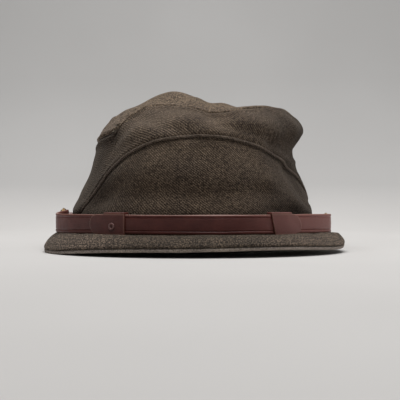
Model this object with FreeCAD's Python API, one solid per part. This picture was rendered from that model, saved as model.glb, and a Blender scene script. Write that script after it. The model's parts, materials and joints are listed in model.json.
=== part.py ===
"""Soft peaked service cap with a leather chinstrap, in millimetres.

-Y is the front (the peak), +X is on the right as seen from the front, and +Z is up.  Left and right
in the names are as seen from the front.  The origin is the centre of the head opening, on the level
surface that the cap stands on.  Each separate piece is written as one node.
"""
import FreeCAD, Part
import math
import os

os.makedirs("parts", exist_ok=True)
Vec = FreeCAD.Vector

# ---- driving dimensions -------------------------------------------------------------------------

# Outer face of the crown as oval levels: height, left x, right x, front y, back y.
CROWN_LEVELS = [
    (-4.0, -94.5, 94.5, -98.0, 99.0),
    (12.0, -94.5, 94.5, -98.0, 100.0),
    (24.0, -95.0, 94.0, -97.5, 101.0),
    (32.0, -96.0, 92.5, -96.5, 102.0),
    (46.0, -89.0, 87.5, -94.5, 102.0),
    (62.0, -83.5, 79.5, -91.5, 100.0),
    (77.0, -79.0, 77.0, -88.0, 96.0),
    (92.0, -73.0, 84.0, -80.0, 88.0),
    (102.0, -62.0, 78.0, -68.0, 74.0),
    (114.5, -41.0, 34.0, -44.0, 44.0),
    (119.5, -30.0, -2.0, -25.0, 22.0),
    (121.7, -24.0, -8.0, -16.0, 12.0),
]
OVAL_POINTS = 24                 # points that carry each oval
CLOTH = (0.0, 2.0)               # depth of each layer below the crown's outer face
CANVAS = (2.15, 2.95)
LINING = (3.1, 3.8)
LABEL = (3.9, 4.2)
SWEATBAND = (8.2, 9.4)
WELT = (-1.1, 0.0)
WELT_WIDTH = 2.8
SWEATBAND_HEIGHT = 34.0
SWEATBAND_LEVELS = 6             # how many of the crown's levels, from the bottom, shape the sweatband
BAND_TOP = 28.5                  # top of the cloth band round the back of the head
RIM_TAPE = 0.9                   # height of the tape that binds the rim
LABEL_SIZE = (34.0, 22.0)

# Lower edge of the cap: flat behind RIM_LIFT_START, and curving up to the root of the peak.
RIM_LIFT_START = -12.0
RIM_LIFT = [(-42.0, 3.8), (-70.0, 6.4), (-98.0, 7.8), (-135.0, 8.6)]

# Curved seam that joins the front panel to the crown, seen from the front: x, height.
ARC_SEAM = [(-93, 10), (-85.5, 28), (-75.7, 42.5), (-62, 60.3), (-44.6, 71.3), (-24, 79.4), (4, 82),
            (25, 80.6), (46.6, 75.4), (69, 62.6), (82, 50), (92.5, 33), (98, 10)]
ARC_SEAM_BACK = -8.0             # the front panel ends here at the sides
TOP_SEAM_HEIGHT = 104.0          # height of the top seam over the origin
TOP_SEAM_FALL = 0.10             # how much it drops towards the back
SIDE_SEAM = -5.0                 # y of the seams between the front and back crown pieces

# Top face of the peak: it climbs from the front edge, droops at the corners, and levels off at the crown.
PEAK_FRONT = 7.3                 # height in the middle of the front edge
PEAK_SLOPE = 0.20
PEAK_ARCH = 6.28e-4              # drop per square millimetre sideways
PEAK_DROOP = 6.6e-8              # further drop per fourth power of the distance sideways
PEAK_ROLL = 0.0155               # the left corner hangs lower than the right one
PEAK_LEVEL = 11.6                # height it levels off at
PEAK_SOFTNESS = 1.2
PEAK_THICK = 3.4
PEAK_COVER = 1.0
PEAK_CENTRE_Y = -62.0
PEAK_HALF_WIDTH = 108.0
PEAK_REACH = 84.0
PEAK_RETURN = 46.0
PEAK_CORNER = 2.0 / 3.0          # below 1, this makes the back corners squarer than an oval's
PEAK_BINDING = 1.4
STITCH_ROWS = 7
STITCH_PITCH = 5.2
STITCH_WIDTH = 0.7
STITCH_HEIGHT = 0.25

STRAP_WIDTH = 12.7
STRAP_BOTTOM = 13.8
STRAP_THICK = 1.9
STRAP_GAP = 0.2                  # between the two halves where they lie on each other
STRAP_CENTRE = (-1.0, 12.34)     # centre of the strap's round front, in plan
STRAP_RADIUS = 117.84            # outer face of the outer half
STRAP_ROUND_END = 58.06          # degrees from the front where the round part ends
STRAP_TURN_RADIUS = 24.0
STRAP_TURN_PAST = 20.0           # degrees that the strap turns in past straight back
STRAP_RETURN_RADIUS = 16.0
STRAP_TAIL_START = -50.0         # behind this y each end climbs or drops towards its button
OUTER_HALF_END = -33.0           # degrees, free end of the outer half
INNER_HALF_END = 38.0            # degrees, free end of the inner half
KEEPER_CLEAR = 0.3
KEEPER_WALL = 1.3
LEFT_KEEPER = (-37.6, -31.4, -23.3)      # degrees: tongue end, loop end, inner edge
RIGHT_KEEPER = (40.0, 36.4, 28.0)
STUD_ANGLE = -28.1
STUD_HEIGHT = 18.6
STUD_RADIUS = 2.6

BUTTON_Y = -17.0
BUTTON_Z = {-1: 23.0, 1: 19.2}   # the left button sits higher than the right one
BUTTON_RADIUS = 7.5
BUTTON_BACK = 100.7              # distance of the button's back from the middle plane
BUTTON_PLATE = 0.8
BUTTON_DOME = 4.4
SHANK_RADIUS = 1.5
SHANK_END = 85.6
RING_PLANE = 86.8
RING_RADIUS = 2.4
RING_WIRE = 0.4
RING_HOLE = 0.75
RING_HOLE_DROP = 0.3
EYELET_BORE = 1.56
EYELET_BARREL = 2.4
EYELET_FLANGE = 3.4
EYELET_OUT = (93.9, 94.7)
EYELET_IN = (88.7, 89.3)
WASHER = (94.8, 97.7)
WASHER_RADIUS = 4.4
LOOSE_BORE = 1.58

FAR = 140.0                      # reach of the cutting tools beyond the cap


# ---- outlines and tools -------------------------------------------------------------------------

def oval_wire(cx, cy, half_x, front, back, z):
    """Closed smooth oval whose front and back halves may have different depths."""
    points = []
    for k in range(OVAL_POINTS):
        angle = 2 * math.pi * k / OVAL_POINTS
        depth = front if math.sin(angle) < 0 else back
        points.append(Vec(cx + half_x * math.cos(angle), cy + depth * math.sin(angle), z))
    curve = Part.BSplineCurve()
    curve.interpolate(Points=points, PeriodicFlag=True)
    return Part.Wire(curve.toShape())


def crown_solid(depth):
    """Solid inside the crown's outer face, moved inwards by depth; low only where it is the sweatband."""
    levels = CROWN_LEVELS[:SWEATBAND_LEVELS] if depth in SWEATBAND else CROWN_LEVELS
    wires = []
    for height, left, right, front, back in levels:
        upper = min(1.0, max(0.0, (height - 85.0) / 30.0))
        half_x = (right - left) / 2 - depth
        half_y = (back - front) / 2 - depth
        z = height - depth * upper
        wires.append(oval_wire((left + right) / 2, (front + back) / 2, half_x, half_y, half_y, z))
    return Part.makeLoft(wires, True, False)


def layer(span):
    """Shell between two depths below the crown's outer face."""
    return SOLIDS[span[0]].cut(SOLIDS[span[1]])


def prism(points, axis_vector):
    """Straight-sided prism on a polygon."""
    wire = Part.makePolygon(points + [points[0]])
    return Part.Face(wire).extrude(axis_vector)


def below_rim(lift):
    """Everything under the cap's lower edge, raised by lift."""
    start = Vec(-FAR, RIM_LIFT_START, lift)
    curve = Part.BSplineCurve()
    curve.interpolate([start] + [Vec(-FAR, y, z + lift) for y, z in RIM_LIFT],
                      InitialTangent=Vec(0, -1, 0), FinalTangent=Vec(0, -1, 0.02))
    front = Vec(-FAR, RIM_LIFT[-1][0], RIM_LIFT[-1][1] + lift)
    low_front = Vec(-FAR, RIM_LIFT[-1][0], -60)
    low_back = Vec(-FAR, FAR, -60)
    back = Vec(-FAR, FAR, lift)
    edges = [curve.toShape()]
    for a, b in [(front, low_front), (low_front, low_back), (low_back, back), (back, start)]:
        edges.append(Part.LineSegment(a, b).toShape())
    return Part.Face(Part.Wire(edges)).extrude(Vec(2 * FAR, 0, 0))


def arc_region(grow):
    """Space in front of the crown's side seams and under the curved seam, grown outwards."""
    points = []
    last = len(ARC_SEAM) - 1
    for k, (x, z) in enumerate(ARC_SEAM):
        before = ARC_SEAM[max(0, k - 1)]
        after = ARC_SEAM[min(last, k + 1)]
        dx = after[0] - before[0]
        dz = after[1] - before[1]
        length = math.hypot(dx, dz)
        points.append(Vec(x - grow * dz / length, -FAR, z + grow * dx / length))
    curve = Part.BSplineCurve()
    curve.interpolate(points)
    low_right = Vec(points[-1].x, -FAR, -20)
    low_left = Vec(points[0].x, -FAR, -20)
    edges = [curve.toShape()]
    for a, b in [(points[-1], low_right), (low_right, low_left), (low_left, points[0])]:
        edges.append(Part.LineSegment(a, b).toShape())
    return Part.Face(Part.Wire(edges)).extrude(Vec(0, FAR + ARC_SEAM_BACK, 0))


def above_top_seam(lift):
    """Space over the sloping plane of the top seam, raised by lift."""
    front = TOP_SEAM_HEIGHT + TOP_SEAM_FALL * FAR + lift
    back = TOP_SEAM_HEIGHT - TOP_SEAM_FALL * FAR + lift
    points = [Vec(-FAR, -FAR, front), Vec(-FAR, FAR, back), Vec(-FAR, FAR, 200), Vec(-FAR, -FAR, 200)]
    return prism(points, Vec(2 * FAR, 0, 0))


def box(x0, x1, y0, y1, z0, z1):
    return Part.makeBox(x1 - x0, y1 - y0, z1 - z0, Vec(x0, y0, z0))


def rod(side, near, far, radius):
    """Cylinder round the button axis between two distances from the middle plane."""
    length = far - near
    return Part.makeCylinder(radius, length, Vec(side * near, BUTTON_Y, BUTTON_Z[side]), Vec(side, 0, 0))


def write(name, shape):
    solids = [piece for piece in shape.Solids if piece.Volume > 1.0]
    result = solids[0] if len(solids) == 1 else Part.makeCompound(solids)
    result.exportStep("parts/" + name + ".step")
    print(name, len(solids), round(sum(s.Volume for s in solids)), result.isValid())


DEPTHS = sorted(set(CLOTH + CANVAS + LINING + LABEL + SWEATBAND + WELT))
SOLIDS = {depth: crown_solid(depth) for depth in DEPTHS}

RIM = below_rim(0.0)
FRONT = arc_region(0.0)
TOP = above_top_seam(0.0)
BAND = box(-FAR, FAR, -FAR, FAR, -30, BAND_TOP)
BUTTON_HOLES = rod(-1, SHANK_END, FAR, EYELET_BARREL).fuse(rod(1, SHANK_END, FAR, EYELET_BARREL))
FLANGE_SEATS = [rod(side, EYELET_OUT[0], FAR, EYELET_FLANGE) for side in (-1, 1)]
FLANGE_SEATS += [rod(side, EYELET_IN[0], EYELET_IN[1], EYELET_FLANGE) for side in (-1, 1)]


def pierced(shape):
    """Shape with room for the two eyelets."""
    shape = shape.cut(BUTTON_HOLES)
    for seat in FLANGE_SEATS:
        shape = shape.cut(seat)
    return shape


# ---- cloth crown --------------------------------------------------------------------------------

def make_crown():
    cloth = layer(CLOTH).cut(RIM)
    write("front_panel", pierced(cloth.common(FRONT)))
    rest = cloth.cut(FRONT)
    write("back_band", pierced(rest.common(BAND)))
    upper = rest.cut(BAND)
    write("crown_top", upper.common(TOP))
    sides = upper.cut(TOP)
    front_half = box(-FAR, FAR, -FAR, SIDE_SEAM, -30, 200)
    left_half = box(-FAR, 0, -FAR, FAR, -30, 200)
    write("crown_front", sides.common(front_half))
    back = sides.cut(front_half)
    write("crown_back_left", back.common(left_half))
    write("crown_back_right", back.cut(left_half))


def make_welts():
    skin = layer(WELT)
    arc_strip = arc_region(WELT_WIDTH / 2).cut(arc_region(-WELT_WIDTH / 2))
    clear = box(-FAR, FAR, -FAR, FAR, STRAP_BOTTOM + STRAP_WIDTH + 3.0, 200)
    write("front_seam_welt", skin.common(arc_strip).common(clear))
    top_strip = above_top_seam(-WELT_WIDTH / 2).cut(above_top_seam(WELT_WIDTH / 2))
    write("top_seam_welt", skin.common(top_strip))


def make_inside():
    canvas = layer(CANVAS).cut(below_rim(RIM_TAPE + 0.1)).common(arc_region(-3.0))
    write("front_canvas", pierced(canvas))
    lining = layer(LINING).cut(below_rim(RIM_TAPE + 0.1))
    write("lining_sides", pierced(lining.cut(TOP)))
    write("lining_top", lining.common(TOP))
    half_x = LABEL_SIZE[0] / 2
    half_y = LABEL_SIZE[1] / 2
    write("size_label", layer(LABEL).common(box(-half_x, half_x, -half_y, half_y, 90, 200)))
    sweatband = layer(SWEATBAND).cut(below_rim(RIM_TAPE + 0.1))
    write("sweatband", sweatband.common(below_rim(SWEATBAND_HEIGHT)))
    tape = SOLIDS[CANVAS[0]].cut(SOLIDS[SWEATBAND[1]]).cut(RIM)
    write("rim_tape", tape.common(below_rim(RIM_TAPE)))


# ---- peak ---------------------------------------------------------------------------------------

def peak_height(x, y):
    """Height of the peak's top face."""
    from_front = y - PEAK_CENTRE_Y + PEAK_REACH
    climb = PEAK_FRONT + PEAK_SLOPE * from_front + PEAK_ROLL * x
    climb -= PEAK_ARCH * x ** 2 + PEAK_DROOP * x ** 4
    share = math.exp(-climb / PEAK_SOFTNESS) + math.exp(-PEAK_LEVEL / PEAK_SOFTNESS)
    return -PEAK_SOFTNESS * math.log(share)


def peak_slab(low, high):
    """Curved slab between two heights over the peak's top face."""
    rows = []
    for j in range(13):
        y = -152.0 + 11.5 * j
        rows.append([Vec(x, y, peak_height(x, y) + low) for x in range(-120, 121, 15)])
    surface = Part.BSplineSurface()
    surface.interpolate(rows)
    return surface.toShape().extrude(Vec(0, 0, high - low))


def peak_plan(inset):
    """Upright solid on the peak's outline, drawn in by inset."""
    points = []
    for k in range(OVAL_POINTS):
        angle = 2 * math.pi * k / OVAL_POINTS
        across, along = math.cos(angle), math.sin(angle)
        if k <= OVAL_POINTS // 2:
            across = math.copysign(abs(across) ** PEAK_CORNER, across)
            y = PEAK_CENTRE_Y + (PEAK_RETURN - inset) * abs(along) ** PEAK_CORNER
        else:
            y = PEAK_CENTRE_Y + (PEAK_REACH - inset) * along
        points.append(Vec((PEAK_HALF_WIDTH - inset) * across, y, -40))
    curve = Part.BSplineCurve()
    curve.interpolate(Points=points, PeriodicFlag=True)
    return Part.Face(Part.Wire(curve.toShape())).extrude(Vec(0, 0, 120))


def make_peak():
    crown = SOLIDS[0.0]
    outline = peak_plan(0.0)
    inner = peak_plan(PEAK_BINDING)
    core = peak_slab(-PEAK_THICK + PEAK_COVER, -PEAK_COVER).common(inner).cut(crown)
    write("peak_board", core)
    write("peak_top_cloth", peak_slab(-PEAK_COVER, 0.0).common(inner).cut(crown))
    under = peak_slab(-PEAK_THICK, -PEAK_THICK + PEAK_COVER).common(inner).cut(crown)
    write("peak_under_cloth", under)
    write("peak_edge_binding", peak_slab(-PEAK_THICK, 0.0).common(outline.cut(inner)).cut(crown))
    top_skin = peak_slab(0.0, STITCH_HEIGHT)
    rows = []
    for k in range(STITCH_ROWS):
        inset = PEAK_BINDING + 1.6 + k * STITCH_PITCH
        ring = peak_plan(inset).cut(peak_plan(inset + STITCH_WIDTH))
        rows += top_skin.common(ring).cut(crown).Solids
    write("peak_stitch_rows", Part.makeCompound(rows))


# ---- chinstrap ----------------------------------------------------------------------------------

def strap_point(radius, degrees):
    """Point on a circle about the strap's centre, in degrees from straight ahead."""
    angle = math.radians(degrees)
    return (STRAP_CENTRE[0] + radius * math.sin(angle), STRAP_CENTRE[1] - radius * math.cos(angle))


def arc_edge(centre, radius, start, end, side):
    """Plan arc from start to end degrees, measured from +X, mirrored for the left side."""
    points = []
    for degrees in (start, (start + end) / 2, end):
        angle = math.radians(degrees)
        x = centre[0] + radius * math.cos(angle)
        points.append(Vec(STRAP_CENTRE[0] + side * x, STRAP_CENTRE[1] + centre[1] + radius * math.sin(angle), 0))
    return Part.Arc(*points), points


def strap_line(depth, side, free_end):
    """Plan line of one strap face from its free end to behind its button."""
    radius = STRAP_RADIUS - depth
    round_start = free_end * side - 90
    round_end = STRAP_ROUND_END - 90
    main, main_points = arc_edge((0, 0), radius, round_start, round_end, side)
    middle = math.radians(round_end)
    reach = STRAP_RADIUS - STRAP_TURN_RADIUS
    turn_centre = (reach * math.cos(middle), reach * math.sin(middle))
    turn, _ = arc_edge(turn_centre, STRAP_TURN_RADIUS - depth, round_end, STRAP_TURN_PAST, side)
    past = math.radians(STRAP_TURN_PAST)
    span = STRAP_TURN_RADIUS + STRAP_RETURN_RADIUS
    back_centre = (turn_centre[0] + span * math.cos(past), turn_centre[1] + span * math.sin(past))
    back, back_points = arc_edge(back_centre, STRAP_RETURN_RADIUS + depth, 180 + STRAP_TURN_PAST, 180, side)
    tail_end = Vec(back_points[-1].x, BUTTON_Y + STRAP_WIDTH, 0)
    tail = Part.LineSegment(back_points[-1], tail_end)
    return [main, turn, back, tail], main_points[0], tail_end


def strap_half(depth, side, free_end):
    """One half of the strap: a flat band on edge, with a rounded tab pierced for the button."""
    outer, outer_start, outer_end = strap_line(depth, side, free_end)
    inner, inner_start, inner_end = strap_line(depth + STRAP_THICK, side, free_end)
    edges = [curve.toShape() for curve in outer + inner]
    edges.append(Part.LineSegment(outer_start, inner_start).toShape())
    edges.append(Part.LineSegment(outer_end, inner_end).toShape())
    band = Part.Face(Part.Wire(Part.__sortEdges__(edges))).extrude(Vec(0, 0, 60))
    return band.common(strap_side_view(side)).cut(rod(side, 60, FAR, LOOSE_BORE))


def strap_side_view(side):
    """Solid with the strap's outline from the side: level in front, then sloping to a round end."""
    half = STRAP_WIDTH / 2
    top = STRAP_BOTTOM + STRAP_WIDTH
    height = BUTTON_Z[side]
    outline = [(-FAR, STRAP_BOTTOM), (STRAP_TAIL_START, STRAP_BOTTOM), (BUTTON_Y, height - half)]
    outline += [(BUTTON_Y, height + half), (STRAP_TAIL_START, top), (-FAR, top)]
    body = prism([Vec(-FAR, y, z) for y, z in outline], Vec(2 * FAR, 0, 0))
    return body.fuse(Part.makeCylinder(half, 2 * FAR, Vec(-FAR, BUTTON_Y, height), Vec(1, 0, 0)))


def sector(radius_in, radius_out, z0, z1, degrees_a, degrees_b):
    """Block of a ring about the strap's centre."""
    start = min(degrees_a, degrees_b)
    sweep = abs(degrees_a - degrees_b)
    centre = Vec(STRAP_CENTRE[0], STRAP_CENTRE[1], z0)
    outer = Part.makeCylinder(radius_out, z1 - z0, centre, Vec(0, 0, 1), sweep)
    inner = Part.makeCylinder(radius_in, z1 - z0, centre, Vec(0, 0, 1), sweep)
    block = outer.cut(inner)
    block.rotate(centre, Vec(0, 0, 1), start - 90)
    return block


def keeper(tongue_end, loop_end, inner_edge):
    """Leather loop round both halves, with a rounded tongue along the outside."""
    hole_in = STRAP_RADIUS - 2 * STRAP_THICK - STRAP_GAP - KEEPER_CLEAR
    hole_out = STRAP_RADIUS + KEEPER_CLEAR
    low = STRAP_BOTTOM - KEEPER_CLEAR
    high = STRAP_BOTTOM + STRAP_WIDTH + KEEPER_CLEAR
    outer = sector(hole_in - KEEPER_WALL, hole_out + KEEPER_WALL, low - KEEPER_WALL, high + KEEPER_WALL,
                   loop_end, inner_edge)
    hole = sector(hole_in, hole_out, low, high, loop_end, inner_edge)
    tongue = sector(hole_out, hole_out + KEEPER_WALL, low, high, tongue_end, loop_end)
    round_radius = (high - low) / 2
    turn = math.degrees(round_radius / STRAP_RADIUS)
    toward = 1 if tongue_end > loop_end else -1
    x, y = strap_point(STRAP_RADIUS - 20, tongue_end - toward * turn)
    away_x, away_y = strap_point(STRAP_RADIUS + 20, tongue_end - toward * turn)
    direction = Vec(away_x - x, away_y - y, 0)
    disc = Part.makeCylinder(round_radius, 40, Vec(x, y, (low + high) / 2), direction)
    stem = sector(hole_out, hole_out + KEEPER_WALL, low, high, tongue_end - toward * turn, loop_end)
    return outer.cut(hole).fuse(tongue.common(disc)).fuse(stem).removeSplitter()


def make_chinstrap():
    write("chinstrap_outer_half", strap_half(0.0, 1, OUTER_HALF_END))
    write("chinstrap_inner_half", strap_half(STRAP_THICK + STRAP_GAP, -1, INNER_HALF_END))
    write("left_keeper", keeper(*LEFT_KEEPER))
    write("right_keeper", keeper(*RIGHT_KEEPER))
    face = STRAP_RADIUS + KEEPER_CLEAR + KEEPER_WALL
    x, y = strap_point(face - 0.4, STUD_ANGLE)
    away_x, away_y = strap_point(face + 1, STUD_ANGLE)
    direction = Vec(away_x - x, away_y - y, 0)
    stud = Part.makeCylinder(STUD_RADIUS, 1.0, Vec(x, y, STUD_HEIGHT), direction)
    stud = stud.cut(Part.makeCylinder(STUD_RADIUS * 0.5, 1.0, Vec(x, y, STUD_HEIGHT), direction))
    stud = stud.cut(keeper(*LEFT_KEEPER))
    write("keeper_stud", stud)


# ---- side buttons -------------------------------------------------------------------------------

def make_button(name, side):
    rim = BUTTON_BACK + BUTTON_PLATE
    dome_radius = (BUTTON_RADIUS ** 2 + BUTTON_DOME ** 2) / (2 * BUTTON_DOME)
    height = BUTTON_Z[side]
    centre = Vec(side * (rim + BUTTON_DOME - dome_radius), BUTTON_Y, height)
    shell = Part.makeSphere(dome_radius, centre).common(rod(side, rim, rim + 10, BUTTON_RADIUS))
    hollow = Part.makeSphere(dome_radius - 0.7, centre).common(rod(side, rim, rim + 10, BUTTON_RADIUS - 0.9))
    write(name + "_button_face", shell.cut(hollow))
    shank = rod(side, BUTTON_BACK, rim, BUTTON_RADIUS - 0.2).fuse(rod(side, SHANK_END, rim, SHANK_RADIUS))
    eye_start = Vec(side * RING_PLANE, BUTTON_Y - 5, height - RING_HOLE_DROP)
    write(name + "_button_shank", shank.cut(Part.makeCylinder(RING_HOLE, 10, eye_start, Vec(0, 1, 0))))
    ring_centre = Vec(side * RING_PLANE, BUTTON_Y, height - RING_RADIUS)
    write(name + "_split_ring", Part.makeTorus(RING_RADIUS, RING_WIRE, ring_centre, Vec(1, 0, 0)))


def make_eyelets():
    eyelets = []
    washers = []
    for side in (-1, 1):
        body = rod(side, EYELET_IN[0], EYELET_OUT[1], EYELET_BARREL)
        body = body.fuse(rod(side, EYELET_OUT[0], EYELET_OUT[1], EYELET_FLANGE))
        body = body.fuse(rod(side, EYELET_IN[0], EYELET_IN[1], EYELET_FLANGE))
        eyelets += body.cut(rod(side, 60, FAR, EYELET_BORE)).Solids
        washer = rod(side, WASHER[0], WASHER[1], WASHER_RADIUS)
        washers += washer.cut(rod(side, 60, FAR, LOOSE_BORE)).Solids
    write("side_eyelets", Part.makeCompound(eyelets))
    write("side_washers", Part.makeCompound(washers))


make_crown()
make_welts()
make_inside()
make_peak()
make_chinstrap()
for button_name, button_side in (("left", -1), ("right", 1)):
    make_button(button_name, button_side)
make_eyelets()
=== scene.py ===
"""Soft peaked service cap: cloth crown, stitched peak, leather chinstrap, buttons and lining.

Shapes are worked out in millimetres and turned into metres when a mesh is made.  -Y is the front.
"""
import bmesh
import bpy
import json
import math
import numpy as np
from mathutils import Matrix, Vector


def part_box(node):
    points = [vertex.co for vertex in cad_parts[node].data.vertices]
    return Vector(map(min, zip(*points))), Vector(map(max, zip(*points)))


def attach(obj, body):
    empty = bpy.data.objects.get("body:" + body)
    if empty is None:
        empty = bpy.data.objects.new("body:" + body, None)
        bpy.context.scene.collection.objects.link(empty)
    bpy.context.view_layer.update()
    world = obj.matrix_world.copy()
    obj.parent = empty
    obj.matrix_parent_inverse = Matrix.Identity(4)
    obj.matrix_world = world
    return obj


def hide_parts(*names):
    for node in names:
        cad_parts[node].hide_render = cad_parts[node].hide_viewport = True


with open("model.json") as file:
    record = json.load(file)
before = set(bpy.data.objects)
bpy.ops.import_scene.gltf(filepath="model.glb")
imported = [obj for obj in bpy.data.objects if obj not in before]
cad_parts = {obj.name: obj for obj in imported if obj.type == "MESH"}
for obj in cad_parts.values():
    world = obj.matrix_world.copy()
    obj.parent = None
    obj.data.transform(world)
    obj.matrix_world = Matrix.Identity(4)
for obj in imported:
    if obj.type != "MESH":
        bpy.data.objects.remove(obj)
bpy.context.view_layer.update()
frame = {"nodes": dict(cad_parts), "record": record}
JOINTS = {joint["name"]: joint for joint in frame["record"]["behaviour"]["joints"]}
MM = 0.001
BUTTON_PLACES = [np.array(JOINTS[name]["pos_m"]) / MM for name in ("left_button_spin", "right_button_spin")]


def box_mm(node):
    """Lowest and highest corner of a CAD node in millimetres."""
    low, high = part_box(node)
    return np.array(low) / MM, np.array(high) / MM


# ---- crown shape --------------------------------------------------------------------------------

# Outer face as oval levels: height, left x, right x, front y, back y.
CROWN = np.array([
    (-4.0, -94.5, 94.0, -98.0, 99.0),
    (10.0, -94.5, 93.5, -98.0, 100.0),
    (20.0, -95.0, 93.0, -98.0, 100.5),
    (27.0, -96.0, 92.8, -97.5, 102.0),
    (33.0, -94.5, 91.8, -96.8, 103.5),
    (40.0, -91.5, 90.0, -96.0, 104.0),
    (47.0, -88.5, 87.0, -95.0, 104.0),
    (54.0, -85.8, 83.2, -93.3, 103.0),
    (61.0, -83.5, 79.6, -91.4, 101.5),
    (68.0, -81.5, 77.8, -89.3, 99.5),
    (74.0, -79.8, 77.2, -87.5, 97.5),
    (78.0, -78.9, 77.3, -86.6, 96.0),
    (82.0, -78.0, 78.2, -86.0, 94.0),
    (87.0, -76.2, 79.8, -84.8, 91.0),
    (92.0, -72.8, 80.5, -81.5, 87.0),
    (97.0, -68.0, 79.8, -75.0, 81.0),
    (102.0, -62.6, 76.5, -66.0, 73.0),
    (106.0, -57.5, 71.5, -56.5, 64.0),
    (109.0, -51.0, 64.5, -47.5, 55.0),
    (112.0, -44.5, 42.0, -38.5, 44.0),
    (115.5, -37.5, 18.0, -30.0, 33.0),
    (119.0, -30.0, -2.0, -21.0, 22.0),
    (121.5, -22.5, -12.5, -11.0, 9.0),
    (122.2, -18.0, -18.0, -3.0, -3.0),
])

# Height of the seam over the front panel and the band, by degrees round from the front.
ARC_DEGREES = [-180, -95, -78, -68, -62, -55.5, -45, -31.8, -16.7, 2.7, 15, 31.5, 41.4, 50, 60, 75, 88, 98,
               108, 122, 180]
ARC_HEIGHTS = [27, 27, 24, 23, 28, 42.5, 60.3, 71.3, 79.4, 82, 81.2, 77.0, 73.0, 68.5, 64.0, 57, 45, 34,
               28, 27, 27]
# Height of the top seam, seen from the front, by x.
TOP_X = [-90, -79, -68, -56.6, -50, -42, -33, -22, -4, 10, 23, 40, 55, 66, 75.9, 82, 95]
TOP_HEIGHTS = [80, 81.5, 84.2, 89.6, 97, 102, 107, 107.6, 104.6, 101.2, 101, 104.0, 106, 105, 100, 93, 90]
TOP_BACK = 87.0
TOP_BACK_LEAN = 0.065
RIM_Y = [-140, -98, -70, -42, -12, 140]
RIM_HEIGHTS = [9.4, 8.6, 7.0, 4.2, 0.0, 0.0]

COLUMNS = 360
LOW_ROWS = 40
SIDE_ROWS = 52
TOP_ROWS = 60
PANEL_LEFT = -66                 # degrees where the front panel meets the back band
PANEL_RIGHT = 108
SIDE_SEAM = 98                   # degrees of the seams between front and back crown pieces
CLOTH_THICK = 1.7
CANVAS_DEPTH = (2.0, 2.7)
LINING_DEPTH = (3.0, 3.6)
SWEATBAND_DEPTH = (8.2, 9.4)


def smooth(values, knots, places):
    """Smooth interpolation through values given at knots."""
    places = np.asarray(places, dtype=float)
    knots = np.asarray(knots, dtype=float)
    values = np.asarray(values, dtype=float)
    slopes = np.zeros_like(values)
    steps = np.diff(knots)
    rises = np.diff(values) / steps
    same = rises[1:] * rises[:-1] > 0
    mean = 2 * rises[1:] * rises[:-1] / np.where(same, rises[1:] + rises[:-1], 1)
    slopes[1:-1] = np.where(same, mean, 0)
    slopes[0], slopes[-1] = rises[0], rises[-1]
    k = np.clip(np.searchsorted(knots, places) - 1, 0, len(knots) - 2)
    t = np.clip((places - knots[k]) / steps[k], 0, 1)
    h00 = 2 * t ** 3 - 3 * t ** 2 + 1
    h10 = t ** 3 - 2 * t ** 2 + t
    h01 = -2 * t ** 3 + 3 * t ** 2
    h11 = t ** 3 - t ** 2
    return h00 * values[k] + h10 * steps[k] * slopes[k] + h01 * values[k + 1] + h11 * steps[k] * slopes[k + 1]


def crown_point(phi, level):
    """Points on the crown's plain outer face, at an angle round from the front and a level of the table."""
    marks = np.arange(len(CROWN))
    height, left, right, front, back = [smooth(CROWN[:, k], marks, level) for k in range(5)]
    x = (left + right) / 2 + (right - left) / 2 * np.sin(phi)
    y = (front + back) / 2 - (back - front) / 2 * np.cos(phi)
    return np.stack([x, y, height + 0 * phi], axis=-1)


def step(low, high, value):
    t = np.clip((value - low) / (high - low), 0, 1)
    return t * t * (3 - 2 * t)


def top_seam_height(points):
    front = smooth(TOP_HEIGHTS, TOP_X, points[..., 0])
    back = TOP_BACK + TOP_BACK_LEAN * points[..., 0]
    share = step(-25, 52, points[..., 1])
    return front * (1 - share) + back * share


def level_where(samples, levels, excess):
    """Level in each column at which excess goes from negative to positive for the last time."""
    found = np.zeros(samples.shape[1])
    for column in range(samples.shape[1]):
        below = np.nonzero(excess[:, column] < 0)[0]
        k = below[-1] if len(below) else 0
        a, b = excess[k, column], excess[k + 1, column]
        found[column] = levels[k] + (levels[k + 1] - levels[k]) * (-a / (b - a) if b > a else 0)
    return found


def waves(points, length, seed):
    """Smooth random field between about -1 and 1, with a given wavelength."""
    source = np.random.RandomState(seed)
    total = np.zeros(points.shape[:-1])
    for _ in range(14):
        direction = source.normal(size=3)
        direction *= 2 * math.pi / (length * source.uniform(0.7, 1.5)) / np.linalg.norm(direction)
        total += np.sin(points @ direction + source.uniform(0, 2 * math.pi))
    return total / 4.5


def line_distance(flat, line):
    """Distance of points from a broken line, in a plane or in space."""
    best = np.full(flat.shape[:-1], 1e9)
    for a, b in zip(line[:-1], line[1:]):
        a, b = np.array(a, float), np.array(b, float)
        along = b - a
        t = np.clip(((flat - a) @ along) / (along @ along), 0, 1)
        best = np.minimum(best, np.linalg.norm(flat - a - t[..., None] * along, axis=-1))
    return best


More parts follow.
